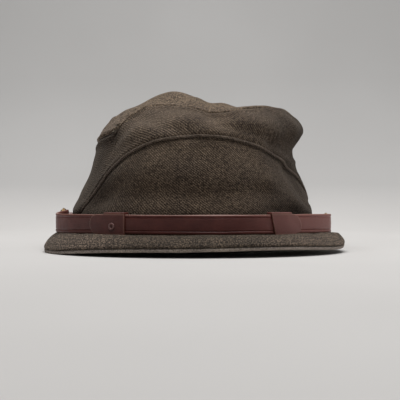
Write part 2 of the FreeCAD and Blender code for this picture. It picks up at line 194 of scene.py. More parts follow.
# Folds and dents: which view they are drawn in, their line, how far they stand out, and their width.
FOLDS = [
    ("front", [(-66, 38), (-30, 42), (10, 40), (50, 43), (66, 44)], -2.6, 7.5),
    ("front", [(-74, 34), (-62, 44), (-50, 50)], -1.8, 6),
    ("front", [(-60, 52), (-20, 58), (20, 57), (52, 55)], 1.0, 11),
    ("front", [(-34, 96), (-20, 89), (-4, 85)], -2.6, 6),
    ("front", [(12, 96), (24, 90), (42, 86)], -2.0, 6),
    ("front", [(-50, 79), (-30, 88), (-10, 92)], 1.1, 8),
    ("front", [(38, 96), (56, 90), (70, 80)], 1.2, 9),
    ("front", [(52, 50), (66, 42), (78, 33), (86, 28)], 1.8, 5),
    ("front", [(70, 60), (78, 50), (84, 41), (87, 37)], -4.0, 5.5),
    ("front", [(56, 30), (66, 28), (74, 26)], -1.4, 4),
    ("front", [(-74, 83), (-68, 86), (-60, 91), (-51, 100), (-40, 106)], 1.5, 4.0),
    ("front", [(-60, 80), (-50, 89), (-42, 97)], -1.5, 5),
    ("ridge", [(-63, 0, 107), (-58, -18, 103), (-52, -30, 98)], -2.6, 2.4),
    ("ridge", [(-66, 0, 102), (-60, -20, 98)], 1.0, 4.0),
    ("ridge", [(80, -34, 78), (78, -5, 73.5), (76, 25, 72), (70, 60, 69)], -5.6, 3.2),
    ("ridge", [(80, -24, 69), (78, 0, 67), (76, 20, 66)], 1.3, 2.6),
    ("ridge", [(64, -40, 104), (69, -10, 105), (68, 30, 103)], 2.4, 7.0),
    ("ridge", [(56, -62, 78), (70, -46, 80), (79, -26, 84)], -2.2, 3.5),
    ("right", [(-30, 90), (5, 92), (40, 91)], 4.2, 9),
    ("right", [(-10, 60), (20, 56), (60, 58)], 1.6, 8),
    ("right", [(20, 96), (50, 88), (80, 70)], -1.8, 7),
    ("left", [(-30, 24), (0, 25), (40, 27), (70, 30)], 2.6, 6),
    ("left", [(-10, 60), (20, 52), (60, 50)], -1.0, 9),
    ("left", [(-20, 84), (10, 84), (40, 78)], -1.8, 9),
    ("left", [(20, 95), (40, 84), (60, 78)], -1.5, 7),
    ("back", [(-70, 38), (-25, 33), (25, 34), (70, 38)], 2.4, 8),
    ("back", [(-60, 62), (-20, 52), (20, 50), (62, 60)], -2.4, 9),
    ("back", [(-40, 84), (0, 72), (42, 82)], 2.0, 11),
    ("back", [(10, 92), (16, 76), (12, 58)], -1.6, 6),
    ("top", [(22, -48), (34, -26), (36, 4), (38, 34)], -5.0, 13),
    ("top", [(11, -50), (13, -10), (14, 34)], -2.8, 8),
    ("top", [(-30, -34), (-27, -6), (-22, 24)], 1.0, 12),
    ("top", [(-4, -48), (-6, -30), (-2, -14)], -1.2, 4),
]


def fold_offset(points):
    """How far folds and slack move the cloth outwards at each point."""
    x, y, z = points[..., 0], points[..., 1], points[..., 2]
    views = {
        "front": (np.stack([x, z], -1), step(12, -16, y) * step(116, 104, z)),
        "back": (np.stack([x, z], -1), step(10, 45, y) * step(108, 92, z)),
        "right": (np.stack([y, z], -1), step(35, 62, x) * step(108, 98, z)),
        "left": (np.stack([y, z], -1), step(-35, -62, x) * step(108, 98, z)),
        "top": (np.stack([x, y], -1), step(88, 100, z)),
        "ridge": (points, np.ones(x.shape)),
    }
    total = np.zeros(x.shape)
    for view, line, height, width in FOLDS:
        flat, share = views[view]
        total += share * height * np.exp(-(line_distance(flat, line) / width) ** 2)
    slack = step(30, 60, z)
    total += slack * (0.75 * waves(points, 58, 3) + 0.35 * waves(points, 24, 5))
    total += 0.3 * waves(points, 34, 7) * step(2, 20, z)
    for place in BUTTON_PLACES:
        away = np.hypot(y - place[1], z - place[2])
        total *= np.where(x * place[0] > 0, step(10, 22, away), 1)
    return total


def grid_normals(points, wrap):
    """Outward normals of a grid whose columns run round and rows run up."""
    if wrap:
        round_way = np.roll(points, -1, axis=1) - np.roll(points, 1, axis=1)
    else:
        round_way = np.gradient(points, axis=1)
    up_way = np.gradient(points, axis=0)
    normal = np.cross(round_way, up_way)
    length = np.linalg.norm(normal, axis=-1, keepdims=True)
    return normal / np.maximum(length, 1e-9)


def spaced_levels(samples, levels, start, end, rows):
    """Levels of evenly spaced rows between two levels in each column."""
    lengths = np.linalg.norm(np.diff(samples, axis=0), axis=-1)
    travelled = np.vstack([np.zeros(samples.shape[1]), np.cumsum(lengths, axis=0)])
    result = np.zeros((rows, samples.shape[1]))
    for column in range(samples.shape[1]):
        a = np.interp(start[column], levels, travelled[:, column])
        b = np.interp(end[column], levels, travelled[:, column])
        result[:, column] = np.interp(np.linspace(a, b, rows), travelled[:, column], levels)
    return result


def build_crown():
    """Row blocks of the crown's outer face: below the curved seam, up to the top seam, and the top."""
    phi = np.radians(np.arange(COLUMNS) - 180.0)
    levels = np.linspace(0, len(CROWN) - 1, 700)
    samples = crown_point(phi[None, :], levels[:, None])
    height = samples[..., 2]
    rim = level_where(samples, levels, height - smooth(RIM_HEIGHTS, RIM_Y, samples[..., 1]))
    arc = smooth(ARC_HEIGHTS, ARC_DEGREES, np.degrees(phi))
    seam = level_where(samples, levels, height - arc[None, :])
    top = level_where(samples, levels, height - top_seam_height(samples))
    pole = np.full(COLUMNS, levels[-1])
    blocks = {}
    for name, start, end, rows in (("low", rim, seam, LOW_ROWS), ("side", seam, top, SIDE_ROWS),
                                   ("top", top, pole, TOP_ROWS)):
        level = spaced_levels(samples, levels, start, end, rows)
        blocks[name] = crown_point(phi[None, :], level)
    return phi, blocks


def lengths_up(points):
    steps = np.linalg.norm(np.diff(points, axis=0), axis=-1)
    return np.vstack([np.zeros(points.shape[1]), np.cumsum(steps, axis=0)])


def bump_at(distance, centre, width):
    return np.exp(-((distance - centre) / width) ** 2)


def shape_crown(phi, blocks):
    """Adds folds, and the puckers and overhang along the seams, to every block."""
    degrees = np.degrees(phi)
    arc_share = (step(-66, -50, degrees) * step(108, 84, degrees))[None, :]
    shaped = {}
    for name, points in blocks.items():
        normal = grid_normals(points, True)
        if name == "top":
            normal[-1] = (0, 0, 1)
        offset = fold_offset(points)
        up = lengths_up(points)
        down = up[-1] - up
        if name == "low":
            offset -= (0.5 + 0.9 * arc_share) * bump_at(down, 0, 3.0)
            offset -= 0.5 * bump_at(up, 0, 2.5)
        if name == "side":
            offset += arc_share * (0.9 * bump_at(up, 3.6, 3.4) - 0.5 * bump_at(up, 0, 1.0))
            offset += (1 - arc_share) * (0.9 * bump_at(up, 6, 5.0) - 0.7 * bump_at(up, 0, 2.0))
            offset += 1.0 * bump_at(down, 3.2, 2.6) - 1.2 * bump_at(down, 0, 1.1)
            for seam in (-SIDE_SEAM, SIDE_SEAM, 180, -180):
                across = np.abs(degrees - seam)[None, :] * 1.45
                offset += 0.7 * bump_at(across, 4.0, 3.0) - 1.0 * bump_at(across, 0, 1.3)
        if name == "top":
            offset += 0.9 * bump_at(up, 2.8, 2.4) - 1.2 * bump_at(up, 0, 1.1)
        shaped[name] = points + normal * offset[..., None]
    for lower, upper in (("low", "side"), ("side", "top")):
        meeting = (shaped[lower][-1] + shaped[upper][0]) / 2
        shaped[lower][-1] = meeting
        shaped[upper][0] = meeting
    shaped["top"][-1] = shaped["top"][-2].mean(axis=0)
    return shaped


# ---- mesh making --------------------------------------------------------------------------------

def new_mesh(name, vertices, faces, uvs=None, marks=None):
    """Mesh object from millimetre vertices; uvs are millimetres, and marks one float, per vertex."""
    mesh = bpy.data.meshes.new(name)
    mesh.from_pydata((np.asarray(vertices) * MM).tolist(), [], [list(map(int, f)) for f in faces])
    mesh.polygons.foreach_set("use_smooth", [True] * len(mesh.polygons))
    if uvs is not None:
        layer = mesh.uv_layers.new(name="weave")
        index = np.empty(len(mesh.loops), dtype=int)
        mesh.loops.foreach_get("vertex_index", index)
        layer.data.foreach_set("uv", np.asarray(uvs)[index].astype(np.float32).ravel())
    if marks is not None:
        attribute = mesh.attributes.new("mark", "FLOAT", "POINT")
        attribute.data.foreach_set("value", np.asarray(marks, dtype=np.float32))
    mesh.update()
    piece = bpy.data.objects.new(name, mesh)
    bpy.context.scene.collection.objects.link(piece)
    return piece


def clean(piece):
    """Merges doubled vertices, drops empty faces and turns every face outwards."""
    work = bmesh.new()
    work.from_mesh(piece.data)
    bmesh.ops.remove_doubles(work, verts=work.verts, dist=2e-6)
    bmesh.ops.dissolve_degenerate(work, edges=work.edges, dist=1e-7)
    bmesh.ops.recalc_face_normals(work, faces=work.faces)
    work.to_mesh(piece.data)
    work.free()
    piece.data.update()
    return piece


def sheet_solid(name, outer, inner, uvs, wrap=False):
    """Closed solid between two grids of the same size."""
    rows, columns = outer.shape[:2]
    count = rows * columns
    vertices = np.concatenate([outer.reshape(-1, 3), inner.reshape(-1, 3)])
    faces = []
    spans = columns if wrap else columns - 1
    for row in range(rows - 1):
        for column in range(spans):
            a = row * columns + column
            b = row * columns + (column + 1) % columns
            faces.append((a, b, b + columns, a + columns))
            faces.append((count + a, count + a + columns, count + b + columns, count + b))
    edges = [(c, (c + 1) % columns) for c in range(spans)]
    edges += [((rows - 1) * columns + (c + 1) % columns, (rows - 1) * columns + c) for c in range(spans)]
    if not wrap:
        edges += [((r + 1) * columns, r * columns) for r in range(rows - 1)]
        edges += [(r * columns + columns - 1, (r + 1) * columns + columns - 1) for r in range(rows - 1)]
    faces += [(count + a, count + b, b, a) for a, b in edges]
    flat = uvs.reshape(-1, 2)
    return clean(new_mesh(name, vertices, faces, np.concatenate([flat, flat])))


def tube(name, path, radius, closed=False, sides=10, flatten=1.0, out=None):
    """Round tube along a path, with rounded ends; out is the outward direction at each point."""
    path = np.asarray(path, float)
    count = len(path)
    if closed:
        along = np.roll(path, -1, axis=0) - np.roll(path, 1, axis=0)
    else:
        along = np.gradient(path, axis=0)
    along /= np.linalg.norm(along, axis=1, keepdims=True)
    out = np.tile([0.0, 0.0, 1.0], (count, 1)) if out is None else out
    out = out - along * np.sum(out * along, axis=1, keepdims=True)
    out /= np.linalg.norm(out, axis=1, keepdims=True)
    side = np.cross(along, out)
    turn = np.linspace(0, 2 * math.pi, sides, endpoint=False)
    size = np.full(count, float(radius))
    if not closed:
        size[0] = size[-1] = radius * 0.35
        size[1] = size[-2] = radius * 0.8
    across = np.cos(turn)[None, :, None] * side[:, None, :]
    ring = across + flatten * np.sin(turn)[None, :, None] * out[:, None, :]
    vertices = (path[:, None, :] + ring * size[:, None, None]).reshape(-1, 3)
    faces = []
    for k in range(count if closed else count - 1):
        following = (k + 1) % count
        for s in range(sides):
            after = (s + 1) % sides
            faces.append((k * sides + s, k * sides + after, following * sides + after, following * sides + s))
    if not closed:
        faces.append(tuple(range(sides))[::-1])
        faces.append(tuple(range((count - 1) * sides, count * sides)))
    travelled = np.concatenate([[0], np.cumsum(np.linalg.norm(np.diff(path, axis=0), axis=1))])
    uvs = np.stack(np.broadcast_arrays(travelled[:, None], turn[None, :] * radius), -1).reshape(-1, 2)
    return clean(new_mesh(name, vertices, faces, uvs))


def finish_piece(piece, body, slot, material, *nodes):
    """Rides on its body, stands for CAD nodes, and takes its material; the slot is not used."""
    piece.data.materials.clear()
    piece.data.materials.append(material)
    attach(piece, body)
    if nodes:
        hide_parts(*nodes)
    return piece


# ---- materials ----------------------------------------------------------------------------------

class Nodes:
    """Short way to write a node material."""

    def __init__(self, name):
        self.material = bpy.data.materials.new(name)
        self.material.use_nodes = True
        self.tree = self.material.node_tree
        self.shader = self.tree.nodes["Principled BSDF"]

    def add(self, kind, inputs=None, **settings):
        node = self.tree.nodes.new(kind)
        for key, value in settings.items():
            setattr(node, key, value)
        for key, value in (inputs or {}).items():
            if isinstance(value, bpy.types.NodeSocket):
                self.tree.links.new(value, node.inputs[key])
            else:
                node.inputs[key].default_value = value
        return node

    def maths(self, operation, a, b):
        return self.add("ShaderNodeMath", {0: a, 1: b}, operation=operation).outputs[0]

    def ramp(self, fac, stops):
        node = self.add("ShaderNodeValToRGB", {"Fac": fac})
        elements = node.color_ramp.elements
        while len(elements) < len(stops):
            elements.new(0.5)
        for element, (place, colour) in zip(elements, stops):
            element.position = place
            element.color = colour if len(colour) == 4 else (*colour, 1.0)
        return node.outputs["Color"]

    def mix(self, fac, a, b, blend="MIX"):
        node = self.add("ShaderNodeMix", data_type="RGBA", blend_type=blend)
        for key, value in ((0, fac), (6, a), (7, b)):
            if isinstance(value, bpy.types.NodeSocket):
                self.tree.links.new(value, node.inputs[key])
            else:
                node.inputs[key].default_value = value if key == 0 else (*value, 1.0)
        return node.outputs[2]

    def noise(self, vector, scale, detail=2.0, rough=0.5, distortion=0.0):
        inputs = {"Vector": vector, "Scale": scale, "Detail": detail, "Roughness": rough,
                  "Distortion": distortion}
        return self.add("ShaderNodeTexNoise", inputs).outputs["Fac"]

    def mapped(self, vector, scale=(1, 1, 1), rotation=(0, 0, 0)):
        inputs = {"Vector": vector, "Scale": scale, "Rotation": rotation}
        return self.add("ShaderNodeMapping", inputs).outputs[0]

    def wave(self, vector, pitch, distortion=0.0, detail=1.0, detail_scale=1.0):
        inputs = {"Vector": vector, "Scale": math.pi / (10 * pitch),
                  "Distortion": distortion, "Detail": detail,
                  "Detail Scale": detail_scale}
        return self.add("ShaderNodeTexWave", inputs, wave_type="BANDS", bands_direction="X").outputs["Fac"]

    def bump(self, height, distance, strength=1.0, normal=None):
        inputs = {"Height": height, "Distance": distance, "Strength": strength}
        if normal is not None:
            inputs["Normal"] = normal
        return self.add("ShaderNodeBump", inputs).outputs["Normal"]

    def weave(self):
        return self.add("ShaderNodeUVMap", uv_map="weave").outputs["UV"]

    def place(self):
        """Position in millimetres."""
        spot = self.add("ShaderNodeTexCoord").outputs["Object"]
        return self.mapped(spot, scale=(1 / MM, 1 / MM, 1 / MM))

    def set(self, **values):
        for key, value in values.items():
            socket = self.shader.inputs[key.replace("_", " ")]
            if isinstance(value, bpy.types.NodeSocket):
                self.tree.links.new(value, socket)
            else:
                socket.default_value = value


def wool(name, dark, middle, light, twill=1.0, fuzz=1.0, pitch=1.45, angle=-50.0, brushed=1.0, sides=1.0):
    """Heather wool: broken twill lines, light and dark yarns, worn patches, a nap brushed forwards, and
    painted shade that changes across x.
    """
    n = Nodes(name)
    uv = n.weave()
    place = n.place()
    turn = (0, 0, math.radians(angle))
    lines = n.wave(n.mapped(uv, rotation=turn), pitch, distortion=1.7, detail=3.0, detail_scale=0.6)
    gaps = n.noise(uv, 0.35, 2.0, 0.6)
    lines = n.maths("MULTIPLY", lines, n.ramp(gaps, [(0.38, (0.5,) * 3), (0.62, (1.0,) * 3)]))
    yarns = n.noise(n.mapped(uv, scale=(1.7, 0.75, 1), rotation=turn), 1.0, 3.0, 0.7)
    flecks = n.noise(n.mapped(place, scale=(1, brushed, 1)), 1.25, 3.0, 0.7)
    patches = n.noise(place, 0.05, 4.0, 0.6)
    tone = n.maths("MULTIPLY", n.maths("SUBTRACT", lines, 0.35), 0.26 * twill)
    tone = n.maths("ADD", tone, n.maths("MULTIPLY", n.maths("SUBTRACT", yarns, 0.5), 1.0))
    tone = n.maths("ADD", tone, n.maths("MULTIPLY", n.maths("SUBTRACT", flecks, 0.5), 1.75 * fuzz))
    tone = n.maths("ADD", tone, 0.5)
    colour = n.ramp(tone, [(0.22, dark), (0.50, middle), (0.78, light)])
    worn = n.ramp(patches, [(0.35, (0.84, 0.83, 0.84)), (0.65, (1.14, 1.12, 1.08))])
    colour = n.mix(1.0, colour, worn, "MULTIPLY")
    # Painted shade: the colour is multiplied by sides, a little bluer, away from the middle. Below 1 the
    # sides are painted shaded; above 1 the middle is painted darker as shadow.
    across = n.maths("ABSOLUTE", n.add("ShaderNodeSeparateXYZ", {0: place}).outputs["X"], 0.0)
    side_shading_tone = (sides, sides, sides * 1.05)
    painted_side_shading = n.ramp(n.maths("DIVIDE", across, 100.0), [(0.36, (1, 1, 1)), (0.70, side_shading_tone)])
    colour = n.mix(1.0, colour, painted_side_shading, "MULTIPLY")
    height = n.maths("ADD", n.maths("MULTIPLY", lines, 0.45 * twill), n.maths("MULTIPLY", flecks, 1.2 * fuzz))
    normal = n.bump(height, 0.0005, 0.8)
    n.set(Base_Color=colour, Roughness=0.95, Normal=normal, Sheen_Weight=0.15, Sheen_Roughness=0.45)
    n.shader.inputs["Sheen Tint"].default_value = (0.75, 0.66, 0.56, 1)
    n.shader.inputs["Specular IOR Level"].default_value = 0.12
    return n.material


def leather(name, deep, light, rough=0.42, grain=1.0, coat=0.12, right_end_reflection=None):
    """Waxed strap leather with fine grain; lighter edges where the mark is high, raw leather with a painted
    highlight, and a painted reflection towards the right end.
    """
    n = Nodes(name)
    place = n.place()
    cells = n.add("ShaderNodeTexVoronoi", {"Vector": place, "Scale": 1.7},
                  feature="DISTANCE_TO_EDGE").outputs[0]
    blotches = n.noise(place, 0.12, 4.0, 0.6)
    streaks = n.noise(n.mapped(place, scale=(0.25, 0.25, 2.2)), 0.8, 3.0, 0.6)
    fac = n.maths("ADD", n.maths("MULTIPLY", blotches, 0.6), n.maths("MULTIPLY", streaks, 0.4))
    colour = n.ramp(fac, [(0.35, deep), (0.68, light)])
    # Painted reflection: towards the right end the colour turns to the given lighter, pinker tone.
    if right_end_reflection:
        across = n.maths("DIVIDE", n.add("ShaderNodeSeparateXYZ", {0: place}).outputs["X"], 120.0)
        colour = n.mix(n.ramp(across, [(0.25, (0, 0, 0)), (0.62, (0.85,) * 3)]), colour, right_end_reflection)
    # Where the mark is high the colour turns to a light edge tone: raw leather edges and a painted highlight.
    mark = n.add("ShaderNodeAttribute", attribute_name="mark").outputs["Fac"]
    colour = n.mix(mark, colour, (0.30, 0.155, 0.115))
    shine = n.ramp(n.noise(place, 0.35, 4.0, 0.6), [(0.3, (rough - 0.08,) * 3), (0.7, (rough + 0.1,) * 3)])
    height = n.maths("ADD", n.maths("MULTIPLY", cells, 0.7 * grain), n.maths("MULTIPLY", streaks, 0.35))
    normal = n.bump(height, 0.00012, 0.6)
    n.set(Base_Color=colour, Roughness=shine, Normal=normal, Coat_Weight=coat, Coat_Roughness=0.3)
    n.shader.inputs["Specular IOR Level"].default_value = 0.45
    return n.material


def plain_weave(name, dark, light, pitch=0.6, rough=0.85):
    """Cotton: warp and weft at right angles, with slubs and faint soiling."""
    n = Nodes(name)
    uv = n.weave()
    warp = n.wave(uv, pitch, distortion=0.6, detail_scale=0.5)
    weft = n.wave(n.mapped(uv, rotation=(0, 0, math.pi / 2)), pitch, distortion=0.6, detail_scale=0.5)
    soil = n.noise(n.place(), 0.05, 4.0, 0.6)
    cloth = n.maths("MULTIPLY", warp, weft)
    fac = n.maths("ADD", n.maths("MULTIPLY", cloth, 0.45), n.maths("MULTIPLY", soil, 0.6))
    colour = n.ramp(fac, [(0.25, dark), (0.7, light)])
    n.set(Base_Color=colour, Roughness=rough, Normal=n.bump(cloth, 0.0002, 0.6), Sheen_Weight=0.1)
    return n.material


def metal(name, dark, light, rough=0.4):
    """Tarnished metal with darker spots and fine scratches."""
    n = Nodes(name)
    place = n.place()
    spots = n.noise(place, 0.5, 5.0, 0.65)
    scratches = n.noise(n.mapped(place, scale=(0.4, 3.0, 1.0)), 2.0, 2.0, 0.6)
    colour = n.ramp(spots, [(0.38, dark), (0.62, light)])
    shine = n.ramp(scratches, [(0.3, (rough - 0.1,) * 3), (0.7, (rough + 0.15,) * 3)])
    n.set(Base_Color=colour, Roughness=shine, Metallic=1.0, Normal=n.bump(spots, 0.0001, 0.4))
    return n.material


def make_materials():
    """Every material by the name of what it covers."""
    return {
        # Cap wool: painted shade darkens it, a little bluer, towards the crown's sides.
        "cloth": wool("cap_wool", (0.0150, 0.0120, 0.0100), (0.066, 0.0475, 0.0350),
                      (0.225, 0.170, 0.122), twill=1.25, sides=0.52),
        # Top wool: a lighter copy of the cap wool, painted light for the up-facing top, with more fuzz for
        # its nap.
        "cloth_top": wool("crown_wool", (0.022, 0.016, 0.012), (0.086, 0.062, 0.042),
                          (0.28, 0.21, 0.150), twill=0.6, fuzz=1.5, brushed=0.4),
        # Peak wool: dark, and lighter again towards the sides, so its middle carries a painted shadow of the
        # crown and strap.
        "peak": wool("peak_wool", (0.009, 0.0066, 0.0054), (0.035, 0.0255, 0.019),
                     (0.135, 0.102, 0.074), twill=0.2, fuzz=1.7, brushed=0.3, sides=1.55),
        # Lip wool: much lighter than the peak wool, as a painted highlight where light catches the lip.
        "lip": wool("peak_lip_wool", (0.09, 0.075, 0.063), (0.27, 0.23, 0.195), (0.50, 0.44, 0.38),
                    twill=0.2),
        # Welt wool: the cap wool painted lighter, as a painted highlight on the seam's ridge.
        "welt": wool("welt_wool", (0.030, 0.023, 0.018), (0.105, 0.081, 0.063), (0.25, 0.20, 0.16),
                     twill=0.6),
        # Near-black wool for the top seam's tube: painted shadow in the seam's crease.
        "seam": wool("top_seam_shadow_wool", (0.006, 0.0045, 0.004), (0.018, 0.013, 0.011),
                     (0.05, 0.038, 0.03), twill=0.3),
        # Strap and keeper leather turn lighter and pinker towards the right end: a painted reflection.
        "strap": leather("strap_leather", (0.085, 0.0170, 0.0125), (0.155, 0.036, 0.027),
                         coat=0.06, right_end_reflection=(0.26, 0.090, 0.074)),
        "keeper": leather("keeper_leather", (0.080, 0.0160, 0.0115), (0.145, 0.033, 0.025),
                          coat=0.04, right_end_reflection=(0.27, 0.105, 0.090)),
        "sweatband": leather("sweatband_leather", (0.12, 0.055, 0.026), (0.22, 0.11, 0.055),
                             rough=0.5, coat=0.05),
        "lining": plain_weave("lining_cotton", (0.10, 0.075, 0.045), (0.24, 0.18, 0.11)),
        "canvas": plain_weave("canvas", (0.28, 0.23, 0.16), (0.42, 0.36, 0.26), pitch=1.1),
        "board": plain_weave("pressed_board", (0.12, 0.10, 0.08), (0.22, 0.19, 0.15), pitch=2.0),
        "label": plain_weave("label_tape", (0.42, 0.39, 0.32), (0.62, 0.58, 0.49), pitch=0.5),
        "thread": plain_weave("sewing_thread", (0.035, 0.027, 0.018), (0.10, 0.08, 0.055), pitch=0.35),
        "brass": metal("tarnished_brass", (0.12, 0.07, 0.03), (0.52, 0.34, 0.15)),
        "steel": metal("ring_steel", (0.16, 0.15, 0.14), (0.42, 0.40, 0.37)),
        # Stud: leather-coloured paint, made paler as a painted highlight on the ring.
        "stud": leather("stud_paint", (0.20, 0.095, 0.084), (0.30, 0.155, 0.14), rough=0.3,
                        grain=0.2, coat=0.4),
    }


# ---- crown pieces -------------------------------------------------------------------------------

def columns_between(start, end):
    """Column numbers from one whole degree to another, going round to the right."""
    span = int(round((end - start) % 360)) or 360
    return (int(start) + 180 + np.arange(span + 1)) % COLUMNS


def cloth_uv(points):
    """Cloth coordinates in millimetres: along the middle row, and up each column."""
    middle = points[points.shape[0] // 2]
    along = np.concatenate([[0], np.cumsum(np.linalg.norm(np.diff(middle, axis=0), axis=1))])
    up = lengths_up(points)
    return np.stack(np.broadcast_arrays(along[None, :], up), -1)


def layer_piece(name, outer, normal, depths, columns=None, flat_uv=False):
    """Solid sheet between two depths under the crown's face."""
    wrap = columns is None
    if not wrap:
        outer = outer[:, columns]
        normal = normal[:, columns]
    uvs = outer[..., :2].copy() if flat_uv else cloth_uv(outer)
    return sheet_solid(name, outer - normal * depths[0], outer - normal * depths[1], uvs, wrap)


def make_crown_pieces(materials):
    phi, blocks = build_crown()
    shaped = shape_crown(phi, blocks)
    rows = [shaped["low"], shaped["side"][1:], shaped["top"][1:]]
    whole = np.concatenate(rows)
    normal = grid_normals(whole, True)
    normal[-1] = normal[-2].mean(axis=0)
    normal[-1] /= np.linalg.norm(normal[-1], axis=-1, keepdims=True)
    low_end = LOW_ROWS
    side_end = LOW_ROWS + SIDE_ROWS - 1
    low, side, top = slice(0, low_end), slice(low_end - 1, side_end), slice(side_end - 1, len(whole))
    plan = [
        ("front_panel", low, PANEL_LEFT, PANEL_RIGHT, "cloth"),
        ("back_band", low, PANEL_RIGHT, PANEL_LEFT, "cloth"),
        ("crown_front", side, -SIDE_SEAM, SIDE_SEAM, "cloth"),
        ("crown_back_left", side, 180, -SIDE_SEAM, "cloth"),
        ("crown_back_right", side, SIDE_SEAM, 180, "cloth"),
    ]
    for node, part, start, end, look in plan:
        columns = columns_between(start, end)
        piece = layer_piece(node + "_cloth", whole[part], normal[part], (0, CLOTH_THICK), columns)
        finish_piece(piece, "cap", "cap_cloth", materials[look], node)
    piece = layer_piece("crown_top_cloth", whole[top], normal[top], (0, CLOTH_THICK), None, True)
    finish_piece(piece, "cap", "cap_cloth", materials["cloth_top"], "crown_top")
    make_inner_layers(whole, normal, side_end, materials)
    make_welts(whole, normal, low_end, side_end, materials)
    return whole, normal


def make_inner_layers(whole, normal, side_end, materials):
    """Canvas behind the front panel, cotton lining, label, sweatband and rim tape."""
    thin = whole[2:]
    thin_normal = normal[2:]
    canvas_columns = columns_between(PANEL_LEFT + 2, PANEL_RIGHT - 2)
    canvas = layer_piece("front_canvas_sheet", whole[2:LOW_ROWS - 2], normal[2:LOW_ROWS - 2], CANVAS_DEPTH,
                         canvas_columns)
    finish_piece(canvas, "cap", "canvas", materials["canvas"], "front_canvas")
    sides = layer_piece("lining_side_wall", thin[:side_end - 2:2], thin_normal[:side_end - 2:2], LINING_DEPTH)
    finish_piece(sides, "cap", "lining", materials["lining"], "lining_sides")
    tip = layer_piece("lining_tip", thin[side_end - 4::2], thin_normal[side_end - 4::2], LINING_DEPTH,
                      None, True)
    finish_piece(tip, "cap", "lining", materials["lining"], "lining_top")
    make_label(materials)
    make_sweatband(materials)


def make_label(materials):
    """Blank size label lying on the lining under the top."""
    low, high = box_mm("size_label")
    x = np.linspace(low[0], high[0], 18)
    y = np.linspace(low[1], high[1], 12)
    gx, gy = np.meshgrid(x, y)
    gz = low[2] - 1.6 + 0.25 * np.sin(gx * 0.35) + 0.2 * np.cos(gy * 0.4)
    outer = np.stack([gx, gy, gz], -1)
    inner = outer - np.array([0, 0, 0.35])
    piece = sheet_solid("size_label_tape", outer, inner, np.stack([gx, gy], -1))
    finish_piece(piece, "cap", "label", materials["label"], "size_label")


def make_sweatband(materials):
    """Leather band inside the head opening, sewn to a tape at the rim, with a row of stitches."""
    phi = np.radians(np.arange(COLUMNS) - 180.0)
    rows = 20
    share = np.linspace(0, 1, rows)[:, None]
    base = crown_point(phi[None, :], np.full((1, COLUMNS), 2.0))[0]
    rim = smooth(RIM_HEIGHTS, RIM_Y, base[:, 1])
    normal = np.stack([base[:, 0] / 94.0, base[:, 1] / 99.0, 0 * phi], -1)
    normal /= np.linalg.norm(normal, axis=1, keepdims=True)
    top_wave = 0.5 * np.sin(5 * phi) + 0.3 * np.sin(11 * phi + 1)
    depth = SWEATBAND_DEPTH[0] + 0.5 * share ** 2 + 0.25 * np.sin(7 * phi)[None, :] * share
    height = rim + 1.0 + share * (33.0 + top_wave)
    outer = base[None] - normal[None] * depth[..., None]
    outer[..., 2] = height
    inner = outer - normal[None] * (SWEATBAND_DEPTH[1] - SWEATBAND_DEPTH[0] - 0.2)
    piece = sheet_solid("sweatband_leather", outer, inner, cloth_uv(outer), True)
    finish_piece(piece, "cap", "sweatband", materials["sweatband"], "sweatband")
    tape_outer = base - normal * 1.9
    tape_inner = base - normal * 9.3
    rings = []
    for k in range(9):
        t = k / 8
        ring = tape_outer * (1 - t) + tape_inner * t
        ring[:, 2] = rim + 0.15 + 0.9 * (1 - math.sin(math.pi * t)) * 0.4
        rings.append(ring)
    lower = np.array(rings)
    upper = lower + np.array([0, 0, 0.6])
    tape = sheet_solid("rim_tape_strip", upper, lower, cloth_uv(lower), True)
    finish_piece(tape, "cap", "lining", materials["lining"], "rim_tape")
    stitches = []
    line = inner[2] + normal * -0.05
    for k in range(0, COLUMNS, 2):
        a, b = line[k], line[(k + 1) % COLUMNS]
        stitches.append((a, a + (b - a) * 1.25, -normal[k]))
    piece = stitch_row("sweatband_stitches", stitches, 0.28)
    finish_piece(piece, "cap", "thread", materials["thread"])


def stitch_row(name, stitches, radius):
    """Many short thread stitches, each a small pointed lozenge, as one mesh."""
    vertices = []
    faces = []
    sides = 6
    for start, end, out in stitches:
        along = end - start
        length = np.linalg.norm(along)
        along = along / length
        side = np.cross(along, out)
        side /= np.linalg.norm(side)
        first = len(vertices)
        for share, size, lift in ((0.0, 0.3, -0.5), (0.2, 0.9, 0.2), (0.5, 1.0, 0.45), (0.8, 0.9, 0.2),
                                  (1.0, 0.3, -0.5)):
            centre = start + along * length * share + out * lift * radius
            for k in range(sides):
                turn = 2 * math.pi * k / sides
                vertices.append(centre + radius * size * (math.cos(turn) * side + 0.8 * math.sin(turn) * out))
        for ring in range(4):
            for k in range(sides):
                a = first + ring * sides + k
                b = first + ring * sides + (k + 1) % sides
                faces.append((a, b, b + sides, a + sides))
        faces.append(tuple(first + k for k in range(sides))[::-1])
        faces.append(tuple(first + 4 * sides + k for k in range(sides)))
    vertices = np.array(vertices)
    return new_mesh(name, vertices, faces, vertices[:, :2] + vertices[:, 2:])


def make_welts(whole, normal, low_end, side_end, materials):
    """Rounded fold of cloth along the curved seam, painted lighter as a highlight, and a finer one along the
    top seam in near-black wool as painted shadow.
    """
    columns = columns_between(PANEL_LEFT + 4, PANEL_RIGHT - 6)
    row = low_end - 1
    path = whole[row + 1, columns] * 0.6 + whole[row, columns] * 0.4 + normal[row + 2, columns] * 0.15
    piece = tube("front_seam_fold", path, 1.0, sides=12, out=normal[row + 2, columns])
    finish_piece(piece, "cap", "welt", materials["welt"], "front_seam_welt")
    row = side_end - 1
    path = whole[row] - normal[row] * 0.05
    piece = tube("top_seam_fold", path, 0.75, closed=True, sides=10, out=normal[row])
    finish_piece(piece, "cap", "welt", materials["seam"], "top_seam_welt")


# ---- peak ---------------------------------------------------------------------------------------

